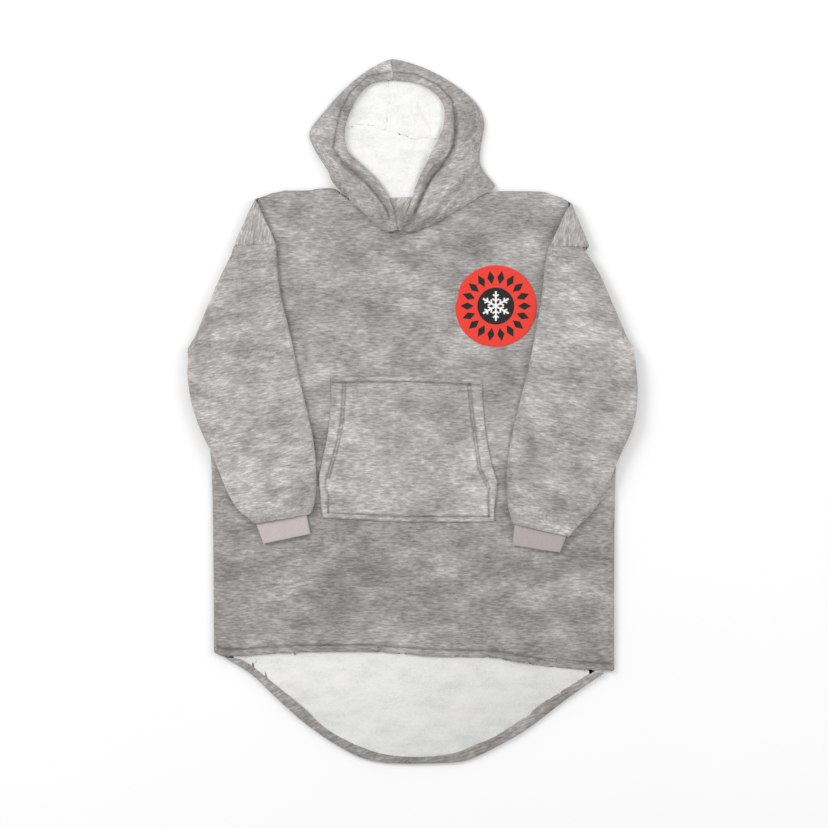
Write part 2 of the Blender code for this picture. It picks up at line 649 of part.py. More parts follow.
def build_hood():
    shell("hood_left", hood_grid(HOOD_LEFT), HOOD_T, GREY)
    shell("hood_right", hood_grid(HOOD_RIGHT), HOOD_T, GREY)
    left, right = (rim_line(table)[:, :2] for table in (HOOD_LEFT, HOOD_RIGHT))
    left, right = inset(left, -5, (-36, 480)), inset(right, -5, (-36, 480))
    cross_left, cross_right = np.abs(left[:, 1] - 511).argmin(), np.abs(right[:, 1] - 492).argmin()
    seam = [(-42, 596), (-40, 560), (-45, 530), (-50, 506)]
    cross = [left[cross_left], (-85, 513), (-50, 506), (0, 490), right[cross_right]]
    steps = even(9)
    pieces = {
        "hood_lining_left": (left[:cross_left + 1], seam, cross[:3]),
        "hood_lining_right": (right[:cross_right + 1], seam, cross[:1:-1]),
    }
    for name, (rim, middle, lower) in pieces.items():
        away = np.sign(np.mean(np.array(rim)[:, 0]) + 42) * 0.3
        middle = [(x + away, y) for x, y in middle]
        outer_side = along(rim, np.concatenate([[0], even(8)[1:]]))
        inner_side = along(middle, even(8))
        lower = along(lower, steps) + (0, 0.3)
        outer_side[-1], inner_side[-1] = lower[0], lower[-1]
        upper = along([outer_side[0], inner_side[0]], steps)
        grid = patch(upper, lower, outer_side, inner_side)
        slab(name, [grid], bowl_low, bowl_high, WHITE)
    rows = even(10)
    neck_left = along(left[cross_left:-8], rows)
    neck_right = along(right[cross_right:-8], rows)
    top = along(cross, steps) - (0, 0.3)
    neck_left[0], neck_right[0] = top[0], top[-1]
    grid = patch(top, along([neck_left[-1], neck_right[-1]], steps), neck_left, neck_right)
    slab("neck_lining", [grid], bowl_low, bowl_high, WHITE)
    rows = even(5)
    sides = [along(side, rows, curved=False) for side in FACING_SIDES]
    ends = (along([side[k] for side in sides], even(4)) for k in (0, -1))
    slab("neck_facing", [patch(*ends, *sides)], lambda p: bowl_high(p) + 0.8,
         lambda p: bowl_high(p) + 2.4, SLEEVE_GREY)


def main():
    build_body()
    build_lining()
    build_tail_hem()
    build_pocket()
    build_patch()
    for side in FOLDS:
        sleeve(side)
        cuff(side)
    build_hood()


main()
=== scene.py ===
# %% [markdown]
# # A wearable blanket hoodie, laid flat
# This lesson dresses the solids of a big fleece hoodie. It lies on its back on a pale
# table, with the sleeves folded over the front, and a camera looks straight down on it.
# The solids already hold every panel at its real size. What is left is the cloth itself:
# soft creases, sewn edges, a streaky grey fleece, a curly white lining and ribbed cuffs.

# %% Load the frame
import math

import bmesh
import bpy
import numpy as np
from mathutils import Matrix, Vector, noise
from mathutils.bvhtree import BVHTree


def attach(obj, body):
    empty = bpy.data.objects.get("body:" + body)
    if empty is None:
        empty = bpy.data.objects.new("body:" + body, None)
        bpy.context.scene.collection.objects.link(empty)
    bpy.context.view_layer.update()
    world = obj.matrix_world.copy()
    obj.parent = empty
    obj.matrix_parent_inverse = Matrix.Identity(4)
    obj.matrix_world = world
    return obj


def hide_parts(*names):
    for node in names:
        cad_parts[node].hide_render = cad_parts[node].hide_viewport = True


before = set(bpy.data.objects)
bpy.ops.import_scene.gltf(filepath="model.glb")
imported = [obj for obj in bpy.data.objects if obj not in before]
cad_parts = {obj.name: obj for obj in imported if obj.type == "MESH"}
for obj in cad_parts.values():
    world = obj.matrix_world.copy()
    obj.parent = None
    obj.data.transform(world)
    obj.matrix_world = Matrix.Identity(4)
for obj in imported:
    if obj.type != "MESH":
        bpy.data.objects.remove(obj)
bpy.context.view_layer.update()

MM = 0.001
PIECES = {}

# %% [markdown]
# ## The camera and the table
# The picture was taken from straight above, so the camera looks down with a long lens.
# A long lens from far away keeps the sleeves from leaning outwards. The light is a large
# soft panel on each side and a bright sky, which leaves only a faint shade under each layer.

# %% Camera, table and lights
PICTURE_WIDTH = 1.4904
CAMERA_HEIGHT = 7.0
VIEW_CENTRE = (0.0027, -0.0063)

camera = bpy.data.objects.new("camera", bpy.data.cameras.new("camera"))
bpy.context.scene.collection.objects.link(camera)
camera.location = (*VIEW_CENTRE, CAMERA_HEIGHT)
camera.data.sensor_width = 36.0
camera.data.lens = camera.data.sensor_width * (CAMERA_HEIGHT - 0.012) / PICTURE_WIDTH
camera.data.clip_end = 50.0
bpy.context.scene.camera = camera


def add_panel(name, place, size, power):
    """A square soft light that faces the middle of the garment."""
    light = bpy.data.lights.new(name, "AREA")
    light.size, light.energy = size, power
    panel = bpy.data.objects.new(name, light)
    panel.location = place
    panel.rotation_euler = (-Vector(place)).to_track_quat("-Z", "Y").to_euler()
    panel.visible_camera = False
    bpy.context.scene.collection.objects.link(panel)


add_panel("light_left", (-2.6, 1.6, 2.6), 1.6, 62)
add_panel("light_right", (2.8, 1.0, 2.8), 2.0, 34)
sky = bpy.data.worlds.new("sky")
sky.use_nodes = True
sky.node_tree.nodes["Background"].inputs["Color"].default_value = (1.0, 1.0, 1.0, 1.0)
sky.node_tree.nodes["Background"].inputs["Strength"].default_value = 0.72
bpy.context.scene.world = sky
bpy.context.scene.view_settings.view_transform = "Standard"

bpy.ops.object.select_all(action="DESELECT")
bpy.ops.mesh.primitive_plane_add(size=12, location=(0, 0, -0.0004))
table = bpy.context.object
table.name = "table"
print("camera at", tuple(camera.location), "lens", round(camera.data.lens, 1))

# %% [markdown]
# ## Copies of the solids
# Each panel starts as a copy of its solid, because the solid already has the garment's
# outline and the right place in the stack. A copied solid is loose triangles, so its
# points are merged first. The solid itself is never touched.


# %% A copy to work on
def only(piece):
    """Nothing but this piece is selected and active."""
    bpy.ops.object.select_all(action="DESELECT")
    piece.select_set(True)
    bpy.context.view_layer.objects.active = piece


def copy_of(node, name):
    """A copy of a solid with its points merged, which stands for that solid."""
    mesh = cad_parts[node].data.copy()
    mesh.materials.clear()
    piece = bpy.data.objects.new(name, mesh)
    bpy.context.scene.collection.objects.link(piece)
    only(piece)
    bpy.ops.object.mode_set(mode="EDIT")
    bpy.ops.mesh.select_all(action="SELECT")
    bpy.ops.mesh.remove_doubles(threshold=0.02 * MM)
    bpy.ops.mesh.tris_convert_to_quads(face_threshold=math.radians(50), shape_threshold=math.radians(60))
    bpy.ops.object.mode_set(mode="OBJECT")
    PIECES[name] = (piece, node)
    return piece


def points_of(piece):
    """The piece's points and their normals, in metres."""
    count = len(piece.data.vertices)
    points, normals = np.empty(count * 3), np.empty(count * 3)
    piece.data.vertices.foreach_get("co", points)
    piece.data.vertices.foreach_get("normal", normals)
    return points.reshape(-1, 3), normals.reshape(-1, 3)


def put_points(piece, points):
    piece.data.vertices.foreach_set("co", points.ravel())
    piece.data.update()


# %% [markdown]
# ## Enough points to bend
# Flat cloth in a solid is a few large faces, and a crease needs small ones. A wide panel
# is therefore cut along a square grid, only where it shows. A rounded piece, such as the
# hood or a sleeve, takes a Subdivision Surface instead, which rounds its form as well.


# %% Cutting and rounding
def cut_in_squares(piece, step, where=lambda face: face.normal.z > 0.25):
    """Cuts the faces that where picks along a square grid, and merges the slivers."""
    mesh = bmesh.new()
    mesh.from_mesh(piece.data)
    for axis in (0, 1):
        normal = [0.0, 0.0, 0.0]
        normal[axis] = 1.0
        picked = [face for face in mesh.faces if where(face)]
        places = [vert.co[axis] for face in picked for vert in face.verts]
        for place in np.arange(min(places) + step / 2, max(places), step):
            faces = [
                face for face in mesh.faces
                if where(face)
                and min(v.co[axis] for v in face.verts) < place < max(v.co[axis] for v in face.verts)
            ]
            parts = set(faces)
            for face in faces:
                parts.update(face.edges)
                parts.update(face.verts)
            bmesh.ops.bisect_plane(
                mesh, geom=list(parts), dist=0.3 * MM,
                plane_co=[place * n for n in normal], plane_no=normal,
            )
    bmesh.ops.remove_doubles(mesh, verts=mesh.verts, dist=0.5 * MM)
    mesh.to_mesh(piece.data)
    mesh.free()


def rounded(piece, levels):
    """Rounds the piece with a Subdivision Surface, and applies it."""
    only(piece)
    surface = piece.modifiers.new("rounding", "SUBSURF")
    surface.levels = surface.render_levels = levels
    bpy.ops.object.modifier_apply(modifier=surface.name)


def soften(piece, times):
    """Evens out the facets that a cut solid still has."""
    only(piece)
    bpy.ops.object.mode_set(mode="EDIT")
    bpy.ops.mesh.select_all(action="SELECT")
    bpy.ops.mesh.vertices_smooth(factor=0.5, repeat=times)
    bpy.ops.object.mode_set(mode="OBJECT")


# %% [markdown]
# ## Creases and seams
# Cloth that is laid down by hand keeps a few soft folds. Each one here is a short line of
# points, with a width and a depth: a trough along the line with a low ridge on each side,
# fading out at both ends. Noise then gives the whole piece the slight unevenness of
# thick fleece.


# %% Creases, seams and unevenness
def smooth(x):
    x = np.clip(x, 0.0, 1.0)
    return x * x * (3.0 - 2.0 * x)


def from_line(points, line):
    """For each point: how far the line is, how far along it, 0 to 1, and its nearest place."""
    line = np.asarray(line, float) * MM
    legs = np.diff(line, axis=0)
    lengths = np.linalg.norm(legs, axis=1)
    before = np.concatenate([[0], np.cumsum(lengths)[:-1]])
    nearest = np.full(len(points), 1e9)
    along = np.zeros(len(points))
    foot = np.zeros((len(points), 2))
    for start, leg, length, run in zip(line, legs, lengths, before):
        share = np.clip(((points[:, :2] - start) @ leg) / length**2, 0, 1)
        place = start + share[:, None] * leg
        apart = np.linalg.norm(points[:, :2] - place, axis=1)
        closer = apart < nearest
        nearest = np.where(closer, apart, nearest)
        along = np.where(closer, run + share * length, along)
        foot[closer] = place[closer]
    return nearest / MM, along / lengths.sum(), foot


def crease(piece, lines, over=0.0):
    """Presses each (width, depth, line) into the faces that look up, above a height."""
    points, normals = points_of(piece)
    up = smooth((normals[:, 2] - 0.1) / 0.5) * (points[:, 2] > over * MM)
    for width, depth, line in lines:
        apart, along = from_line(points, line)[:2]
        fade = smooth(np.minimum(along, 1 - along) / 0.2 + 0.15)
        trough = np.exp(-((apart / width) ** 2)) - 0.45 * np.exp(-(((apart - 2 * width) / width) ** 2))
        points[:, 2] -= depth * MM * fade * up * trough
    put_points(piece, points)


def pull(piece, line, shift, reach=12.0, over=-1.0):
    """Draws cloth near a line by shift, in mm, so that a sewn edge laps over its seam."""
    points = points_of(piece)[0]
    near = smooth(1 - from_line(points, line)[0] / reach) * (points[:, 2] > over * MM)
    points[:, :2] += near[:, None] * np.array(shift) * MM
    put_points(piece, points)


def groove(piece, lines, width=1.9, depth=1.8):
    """The small valley that a line of stitches pulls into thick cloth."""
    points, normals = points_of(piece)
    up = smooth((normals[:, 2] - 0.1) / 0.4)
    for line in lines:
        apart = from_line(points, line)[0]
        points -= normals * (depth * MM * up * np.exp(-((apart / width) ** 2)))[:, None]
    put_points(piece, points)


def refine(piece, lines, reach=5.0, cuts=2):
    """Smaller faces along the lines, so that a groove is sharp there."""
    count = len(piece.data.polygons)
    centres = np.empty(count * 3)
    piece.data.polygons.foreach_get("center", centres)
    centres = centres.reshape(-1, 3)
    facing = np.array([face.normal.z for face in piece.data.polygons])
    near = np.zeros(count, bool)
    for line in lines:
        near |= from_line(centres, line)[0] < reach
    only(piece)
    bpy.ops.object.mode_set(mode="EDIT")
    bpy.ops.mesh.select_all(action="DESELECT")
    bpy.ops.object.mode_set(mode="OBJECT")
    piece.data.polygons.foreach_set("select", near & (facing > 0.1))
    bpy.ops.object.mode_set(mode="EDIT")
    bpy.ops.mesh.subdivide(number_cuts=cuts)
    bpy.ops.object.mode_set(mode="OBJECT")


def waves(points, size, seed):
    """Smooth noise from about -1 to 1 at the points, with bumps about size across, in mm."""
    at = points / (size * MM)
    return np.array([noise.noise(Vector((p[0] + seed, p[1] - seed, p[2]))) for p in at]) * 1.6


def uneven(piece, heights, over=0.0):
    """Raises and lowers the upper side by noise, from a list of (size, height) in mm."""
    points, normals = points_of(piece)
    up = smooth((normals[:, 2] - 0.1) / 0.5) * (points[:, 2] > over * MM)
    for seed, (size, height) in enumerate(heights):
        points[:, 2] += waves(points, size, 3.7 * seed + len(piece.name)) * height * MM * up
    put_points(piece, points)


# %% [markdown]
# ## The grain of the fleece
# The fleece is knitted from grey and white yarn, so it has short streaks, and they run
# across each panel as it was cut: level on the body, a little tilted on the sleeves and
# upright on the dropped shoulders. Each piece therefore carries its own grain as an
# attribute: along the streaks, across them and up, plus a tone that makes a panel
# lighter or darker. One material can then serve every panel.


# %% Grain and tone
def grain(piece, turn, tone=1.0, shift=0.0):
    """Stores the piece's grain, turned by degrees (a number or one for each point)."""
    points = points_of(piece)[0]
    angle = np.radians(turn) * np.ones(len(points))
    tone = tone * np.ones(len(points))
    along = points[:, 0] * np.cos(angle) + points[:, 1] * np.sin(angle) + shift
    across = -points[:, 0] * np.sin(angle) + points[:, 1] * np.cos(angle)
    layer = piece.data.attributes.new("grain", "FLOAT_VECTOR", "POINT")
    layer.data.foreach_set("vector", np.column_stack([along, across, points[:, 2]]).ravel())
    layer = piece.data.attributes.new("tone", "FLOAT", "POINT")
    layer.data.foreach_set("value", tone)


def painted_seam_shade(piece, lines, dark=0.34, light=0.10):
    """A tone for each point with painted shade: dark in a sewn valley, and a painted highlight on the swell
    beside it.
    """
    points = points_of(piece)[0]
    tone = np.ones(len(points))
    for line in lines:
        apart = from_line(points, line)[0]
        tone += light * smooth(1 - np.abs(apart - 6.5) / 5) - dark * np.exp(-((apart / 1.8) ** 2))
    return tone


# %% [markdown]
# ## Materials
# A material here is a small tree of nodes. A helper that adds one node and links its
# inputs keeps each tree short enough to read. Numbers that are the same all over, such as
# roughness and sheen, are typed into the shader itself.


# %% Node helpers
def new_material(name, roughness, sheen=0.0, specular=0.2):
    material = bpy.data.materials.new(name)
    material.use_nodes = True
    shader = material.node_tree.nodes["Principled BSDF"]
    shader.inputs["Roughness"].default_value = roughness
    shader.inputs["Sheen Weight"].default_value = sheen
    shader.inputs["Sheen Roughness"].default_value = 0.5
    shader.inputs["Specular IOR Level"].default_value = specular
    return material, shader


def add_node(material, kind, settings=(), **inputs):
    """One node, with settings by name and inputs by name, each a value or a socket."""
    node = material.node_tree.nodes.new(kind)
    for name, value in dict(settings).items():
        setattr(node, name, value)
    for name, value in inputs.items():
        key = int(name[1:]) if name[1:].isdigit() else name
        if isinstance(value, bpy.types.NodeSocket):
            material.node_tree.links.new(value, node.inputs[key])
        else:
            node.inputs[key].default_value = value
    return node


def calc(material, operation, a, b=0.0, c=0.0):
    node = add_node(material, "ShaderNodeMath", {"operation": operation}, _0=a, _1=b, _2=c)
    return node.outputs[0]


def ramp(material, value, stops):
    """Colours between stops of (place, grey or colour)."""
    node = add_node(material, "ShaderNodeValToRGB", {}, Fac=value)
    elements = node.color_ramp.elements
    while len(elements) < len(stops):
        elements.new(0.5)
    for element, (place, colour) in zip(elements, stops):
        element.position = place
        element.color = (*colour, 1.0) if len(np.atleast_1d(colour)) == 3 else (colour, colour, colour, 1.0)
    return node.outputs["Color"]


def stretched_noise(material, source, scale, detail=2.0, roughness=0.55):
    """Noise that is drawn out by scaling each direction of its coordinates."""
    mapping = add_node(material, "ShaderNodeMapping", {}, Vector=source, Scale=scale)
    node = add_node(
        material, "ShaderNodeTexNoise", {}, Vector=mapping.outputs[0],
        Scale=1.0, Detail=detail, Roughness=roughness,
    )
    return node.outputs["Fac"]


def link_bump(material, shader, height, strength, distance):
    bump = add_node(
        material, "ShaderNodeBump", {}, Height=height, Strength=strength, Distance=distance * MM
    )
    material.node_tree.links.new(bump.outputs[0], shader.inputs["Normal"])


def link_toned(material, shader, colour, tone):
    """The colour times the piece's tone, as the shader's base colour."""
    grey = add_node(material, "ShaderNodeCombineColor", {}, _0=tone, _1=tone, _2=tone).outputs[0]
    mix = add_node(
        material, "ShaderNodeMix", {"data_type": "RGBA", "blend_type": "MULTIPLY"},
        _0=1.0, _6=colour, _7=grey,
    )
    material.node_tree.links.new(mix.outputs[2], shader.inputs["Base Color"])


# %% [markdown]
# The fleece: fine streaks about 15 mm long and 3 mm high, wider clouds behind them, and
# a nap that scatters light like short fur. The streaks set the colour and the bump alike,
# because on the real cloth the light yarn stands a little proud.


# %% Fleece
def make_fleece():
    material, shader = new_material("melange_fleece", 0.95, sheen=0.25, specular=0.1)
    cloth = add_node(material, "ShaderNodeAttribute", {"attribute_name": "grain"}).outputs["Vector"]
    tone = add_node(material, "ShaderNodeAttribute", {"attribute_name": "tone"}).outputs["Fac"]
    streaks = stretched_noise(material, cloth, (75, 330, 330), 3.0, 0.62)
    strands = stretched_noise(material, cloth, (190, 900, 900), 2.0, 0.6)
    clouds = stretched_noise(material, cloth, (16, 26, 26), 3.0, 0.6)
    patches = stretched_noise(material, cloth, (5, 8, 8), 2.0, 0.5)
    mixed = calc(material, "MULTIPLY_ADD", streaks, 0.50, calc(material, "MULTIPLY", strands, 0.16))
    mixed = calc(material, "MULTIPLY_ADD", calc(material, "SUBTRACT", clouds, 0.5), 0.40, mixed)
    mixed = calc(material, "MULTIPLY_ADD", calc(material, "SUBTRACT", patches, 0.5), 0.18, mixed)
    mixed = calc(material, "ADD", mixed, 0.17)
    colour = ramp(material, mixed, [
        (0.30, (0.135, 0.125, 0.118)), (0.44, (0.265, 0.250, 0.240)),
        (0.54, (0.385, 0.368, 0.355)), (0.68, (0.640, 0.622, 0.605)),
    ])
    link_toned(material, shader, colour, tone)
    fibres = stretched_noise(material, cloth, (900, 1800, 1800), 2.0, 0.6)
    height = calc(material, "MULTIPLY_ADD", fibres, 0.35, streaks)
    link_bump(material, shader, height, 0.55, 1.2)
    return material


FLEECE = make_fleece()

# %% [markdown]
# The lining: short curly white pile. Its curls are real bumps in the mesh; the material
# only adds the finer curl between them and a faint painted shade in their hollows.


# %% Sherpa
def make_sherpa():
    material, shader = new_material("sherpa_pile", 0.97, sheen=0.3, specular=0.1)
    place = add_node(material, "ShaderNodeTexCoord").outputs["Object"]
    curls = stretched_noise(material, place, (420, 420, 420), 3.0, 0.65)
    drifts = stretched_noise(material, place, (22, 48, 48), 3.0, 0.6)
    mixed = calc(material, "MULTIPLY_ADD", curls, 0.5, calc(material, "MULTIPLY", drifts, 0.5))
    # Painted shade: the colour darkens where the curls' bump is low, in their hollows.
    colour = ramp(material, mixed, [
        (0.34, (0.72, 0.755, 0.735)), (0.5, (0.87, 0.865, 0.85)), (0.7, (0.94, 0.935, 0.925)),
    ])
    tone = add_node(material, "ShaderNodeAttribute", {"attribute_name": "tone"}).outputs["Fac"]
    link_toned(material, shader, colour, tone)
    link_bump(material, shader, curls, 0.6, 1.4)
    return material


SHERPA = make_sherpa()

# %% [markdown]
# The cuffs' rib is a firm smooth knit in a pinkish grey, and the thread is a slightly
# darker grey than the fleece. The table is plain and nearly white.


# %% Rib, thread and table
def make_rib():
    material, shader = new_material("rib_knit", 0.85, sheen=0.15, specular=0.2)
    cloth = add_node(material, "ShaderNodeAttribute", {"attribute_name": "grain"}).outputs["Vector"]
    yarn = stretched_noise(material, cloth, (1400, 500, 900), 2.0, 0.6)
    colour = ramp(material, yarn, [(0.3, (0.44, 0.385, 0.38)), (0.7, (0.60, 0.535, 0.53))])
    tone = add_node(material, "ShaderNodeAttribute", {"attribute_name": "tone"}).outputs["Fac"]
    link_toned(material, shader, colour, tone)
    link_bump(material, shader, yarn, 0.35, 0.3)
    return material


def make_thread():
    material, shader = new_material("sewing_thread", 0.7, specular=0.3)
    place = add_node(material, "ShaderNodeTexCoord").outputs["Object"]
    twist = stretched_noise(material, place, (2600, 2600, 2600), 1.0)
    colour = ramp(material, twist, [(0.35, (0.20, 0.19, 0.185)), (0.65, (0.34, 0.33, 0.32))])
    material.node_tree.links.new(colour, shader.inputs["Base Color"])
    return material


def make_table():
    material, shader = new_material("pale_table", 0.9, specular=0.0)
    place = add_node(material, "ShaderNodeTexCoord").outputs["Object"]
    cloudy = stretched_noise(material, place, (2, 2, 2), 1.0)
    colour = ramp(material, cloudy, [(0.0, (0.93, 0.93, 0.93)), (1.0, (0.96, 0.96, 0.96))])
    material.node_tree.links.new(colour, shader.inputs["Base Color"])
    return material


RIB, THREAD = make_rib(), make_thread()
table.data.materials.append(make_table())

# %% [markdown]
# The chest motif is a smooth print on a thin disc: a red ground, a ring of black lozenges
# and a white snowflake with six arms in a black middle. It is drawn with arithmetic on
# the distance from the centre and the angle round it, so it stays sharp at any size.

# %% Chest motif
MOTIF_CENTRE = (0.150, 0.188)
MOTIF_RADIUS = 0.074
LOZENGES = 18
BRANCH_RISE, BRANCH_LEAN = 0.8192, 0.5736


def make_motif():
    material, shader = new_material("chest_print", 0.62, sheen=0.05, specular=0.3)

    def work(operation, a, b=0.0, c=0.0):
        return calc(material, operation, a, b, c)

    def inside(value, limit):
        """1 where the value is under the limit, with an edge about 0.3 mm wide."""
        return work("MULTIPLY_ADD", work("SUBTRACT", limit, value), 250.0, 0.5)

    def both(a, b):
        return work("MINIMUM", a, b)

    place = add_node(material, "ShaderNodeTexCoord").outputs["Object"]
    split = add_node(material, "ShaderNodeSeparateXYZ", {}, Vector=place)
    x = work("DIVIDE", work("SUBTRACT", split.outputs[0], MOTIF_CENTRE[0]), MOTIF_RADIUS)
    y = work("DIVIDE", work("SUBTRACT", split.outputs[1], MOTIF_CENTRE[1]), MOTIF_RADIUS)
    radius = work("SQRT", work("MULTIPLY_ADD", x, x, work("MULTIPLY", y, y)))
    angle = work("ARCTAN2", x, y)

    step = 2 * math.pi / LOZENGES
    turn = work("SUBTRACT", work("FLOORED_MODULO", angle, step), step / 2)
    across = work("MULTIPLY", work("ABSOLUTE", turn), work("DIVIDE", radius, 0.090))
    length = work("DIVIDE", work("ABSOLUTE", work("SUBTRACT", radius, 0.70)), 0.165)
    lozenge = inside(work("MULTIPLY", work("ADD", across, length), 0.1), 0.1)

    sixth = math.pi / 3
    turn = work("SUBTRACT", work("FLOORED_MODULO", work("ADD", angle, sixth / 2), sixth), sixth / 2)
    out = work("MULTIPLY", radius, work("COSINE", turn))
    side = work("ABSOLUTE", work("MULTIPLY", radius, work("SINE", turn)))
    flake = both(inside(side, 0.022), inside(out, 0.36))
    for start, reach in ((0.12, 0.10), (0.23, 0.085)):
        ahead = work("SUBTRACT", out, start)
        rise, lean = work("MULTIPLY", ahead, BRANCH_RISE), work("MULTIPLY", side, BRANCH_LEAN)
        off = work("ABSOLUTE", work("SUBTRACT", rise, lean))
        rise, lean = work("MULTIPLY", ahead, BRANCH_LEAN), work("MULTIPLY", side, BRANCH_RISE)
        run = work("ADD", rise, lean)
        branch = both(both(inside(off, 0.019), inside(run, reach)), inside(-0.0, run))
        flake = work("MAXIMUM", flake, branch)

    speckle = stretched_noise(material, place, (900, 900, 900), 2.0)
    red = ramp(material, speckle, [(0.3, (0.70, 0.030, 0.018)), (0.7, (0.86, 0.060, 0.036))])
    black = ramp(material, speckle, [(0.3, (0.006, 0.006, 0.006)), (0.7, (0.020, 0.018, 0.018))])
    white = ramp(material, speckle, [(0.3, (0.80, 0.79, 0.78)), (0.7, (0.90, 0.89, 0.88))])
    dark = work("MAXIMUM", lozenge, inside(radius, 0.45))
    colour = red
    for mask, paint in ((dark, black), (flake, white)):
        clamped = add_node(material, "ShaderNodeClamp", {}, Value=mask).outputs[0]
        mix = add_node(material, "ShaderNodeMix", {"data_type": "RGBA"}, _0=clamped, _6=colour, _7=paint)
        colour = mix.outputs[2]
    material.node_tree.links.new(colour, shader.inputs["Base Color"])
    link_bump(material, shader, speckle, 0.2, 0.2)
    return material


MOTIF = make_motif()
print("materials:", [m.name for m in bpy.data.materials if m.users])


# %% [markdown]
# ## Finishing a piece
# Every piece gets its material and smooth shading, rides on the part's one body, and stands
# for its solid, which is hidden; its area of cloth is printed beside the size that it was cut to.


# %% Finish and print the sizes
def finish(name, material, cut, share=1.0, angle=60):
    """cut is the flat width and length in metres, and share is how much of it is cloth."""
    piece, node = PIECES[name]
    piece.data.materials.append(material)
    only(piece)
    bpy.ops.object.shade_smooth_by_angle(angle=math.radians(angle))
    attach(piece, "root")
    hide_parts(node)
    surface = sum(face.area for face in piece.data.polygons)
    print(name, "points", len(piece.data.vertices), "faces", len(piece.data.polygons),
          "cloth m2", round(surface / 2, 3), "declared", round(share * cut[0] * cut[1], 3))
    return piece


# %% [markdown]
# ## The front
# The front panel is the largest piece. It domes a little between the sleeves, its hem is
# turned and sewn 12 mm up, and a few shallow folds run from the neck and from the sleeves.

# %% Front panel
HEM_STITCH = [
    (-352, -424), (-339, -430), (-307, -430), (-206, -423), (-80, -422),
    (33, -430), (158, -434), (226, -447), (309, -454), (358, -456),
]
FRONT_FOLDS = [
    (9, 1.9, [(-176, 372), (-196, 352), (-214, 338)]),
    (13, 1.8, [(-150, 262), (-100, 292), (-62, 309)]),
    (12, 1.3, [(-178, 262), (-168, 300), (-160, 322)]),
    (11, 1.6, [(30, 300), (74, 318), (130, 352)]),
    (15, 1.3, [(-205, 150), (-130, 172), (-40, 160)]),
    (16, 1.2, [(-30, 235), (40, 250), (96, 244)]),
    (14, 1.2, [(-180, 80), (-110, 100), (20, 92)]),
    (12, 1.3, [(168, 60), (120, 84), (70, 88)]),
    (15, 1.2, [(-140, -240), (-40, -262), (70, -246)]),
    (18, 1.5, [(-330, -300), (-230, -322), (-120, -312)]),
    (16, 1.3, [(320, -290), (240, -330), (150, -342)]),
    (18, 1.2, [(-80, -370), (30, -384), (150, -372)]),
    (12, 1.1, [(-345, -180), (-322, -240), (-318, -300)]),
    (12, 1.1, [(352, -200), (334, -260), (336, -330)]),
]

front = copy_of("front_panel", "front_cloth")
cut_in_squares(front, 8 * MM)
refine(front, [HEM_STITCH])
soften(front, 2)
crease(front, FRONT_FOLDS)
uneven(front, [(110, 0.9), (46, 0.5), (18, 0.16)])
groove(front, [HEM_STITCH], width=2.2)
height = points_of(front)[0][:, 1]
shade = 1.02 - 0.09 * smooth((0.05 - height) / 0.35)
# The front is darker towards the hem, and its tone holds painted shade in the hem's sewn valley and a
# painted highlight on the swell beside it.
grain(front, 0, tone=shade * painted_seam_shade(front, [HEM_STITCH], light=0.08))
finish("front_cloth", FLEECE, (0.80, 0.87), 0.84)

# %% [markdown]
# ## The back
# The back panel lies on the table. It shows only at the tail's edge and where its dropped
# shoulders turn over on top of the front. There the grain stands upright, because that
# cloth has been turned with the fold.

# %% Back panel
SHOULDER_FOLDS = [
    (2.4, 2.4, [(-274, 372), (-268, 350), (-261, 330), (-257, 308)]),
    (2.4, 2.4, [(272, 362), (265, 342), (259, 322), (257, 302)]),
    (5, 0.9, [(-300, 330), (-286, 318), (-270, 314)]),
    (5, 0.9, [(300, 316), (280, 300), (262, 304)]),
]
WING_HEIGHT = 14.0

ARM_SEAM = {
    "left": [(-330, 297), (-319.5, 297.4), (-247, 302.4), (-240, 303)],
    "right": [(328, 294), (317.5, 294.5), (248, 298.5), (240, 299)],
}

back = copy_of("back_panel", "back_cloth")
cut_in_squares(
    back, 5 * MM,
    lambda face: face.normal.z > 0.2 and face.calc_center_median().z > WING_HEIGHT * MM,
)
soften(back, 1)
crease(back, SHOULDER_FOLDS, WING_HEIGHT)
uneven(back, [(40, 0.5), (16, 0.2)], WING_HEIGHT)
for seam in ARM_SEAM.values():
    pull(back, seam, (0, -2.8), over=WING_HEIGHT)
    groove(back, [seam], width=3.0, depth=1.2)
turned = points_of(back)[0][:, 2] > WING_HEIGHT * MM
grain(back, np.where(turned, 80.0, 0.0), tone=np.where(turned, 1.2, 1.0))
finish("back_cloth", FLEECE, (0.80, 1.04), 0.73)

# %% [markdown]
# ## The lining in the tail
# Sherpa is a knit with a curly pile. Its curls are modelled as small bumps in the mesh
# where it shows: below the front's hem and inside the hood.


# %% Tail lining
def curl(piece, size, height, where):
    """Raises curls about size apart on the upper side, where a test on the points holds."""
    points, normals = points_of(piece)
    up = smooth((normals[:, 2] - 0.1) / 0.4) * where(points)
    shown = np.nonzero(up > 0.01)[0]
    bumps = np.zeros(len(points))
    for i in shown:
        at = Vector(points[i] / (size * MM))
        nearest = noise.voronoi(at)[0][0]
        bumps[i] = 1 - min(nearest, 1.0) + 0.5 * noise.noise(at * 2.3)
    points += normals * (bumps * up * height * MM)[:, None]
    put_points(piece, points)


TAIL_TOP = -0.425
lining = copy_of("back_lining", "tail_lining")
cut_in_squares(
    lining, 2.6 * MM, lambda face: face.normal.z > 0.3 and face.calc_center_median().y < TAIL_TOP
)
soften(lining, 2)
uneven(lining, [(60, 1.6), (22, 0.8)])
curl(lining, 6.0, 1.1, lambda points: points[:, 1] < TAIL_TOP)
across, down = points_of(lining)[0][:, 0], points_of(lining)[0][:, 1]
grain(lining, 0, tone=0.90 - 0.09 * smooth((across + 0.1) / 0.35) - 0.05 * smooth((-0.47 - down) / 0.1))
finish("tail_lining", SHERPA, (0.74, 1.01), 0.76)

# %% [markdown]
# ## The tail's edge band
# A narrow strip of fleece is turned over the edge of the lining all round the tail. It
# is a slim solid, so rounding it gives the soft roll, and two tiny creases break it up.

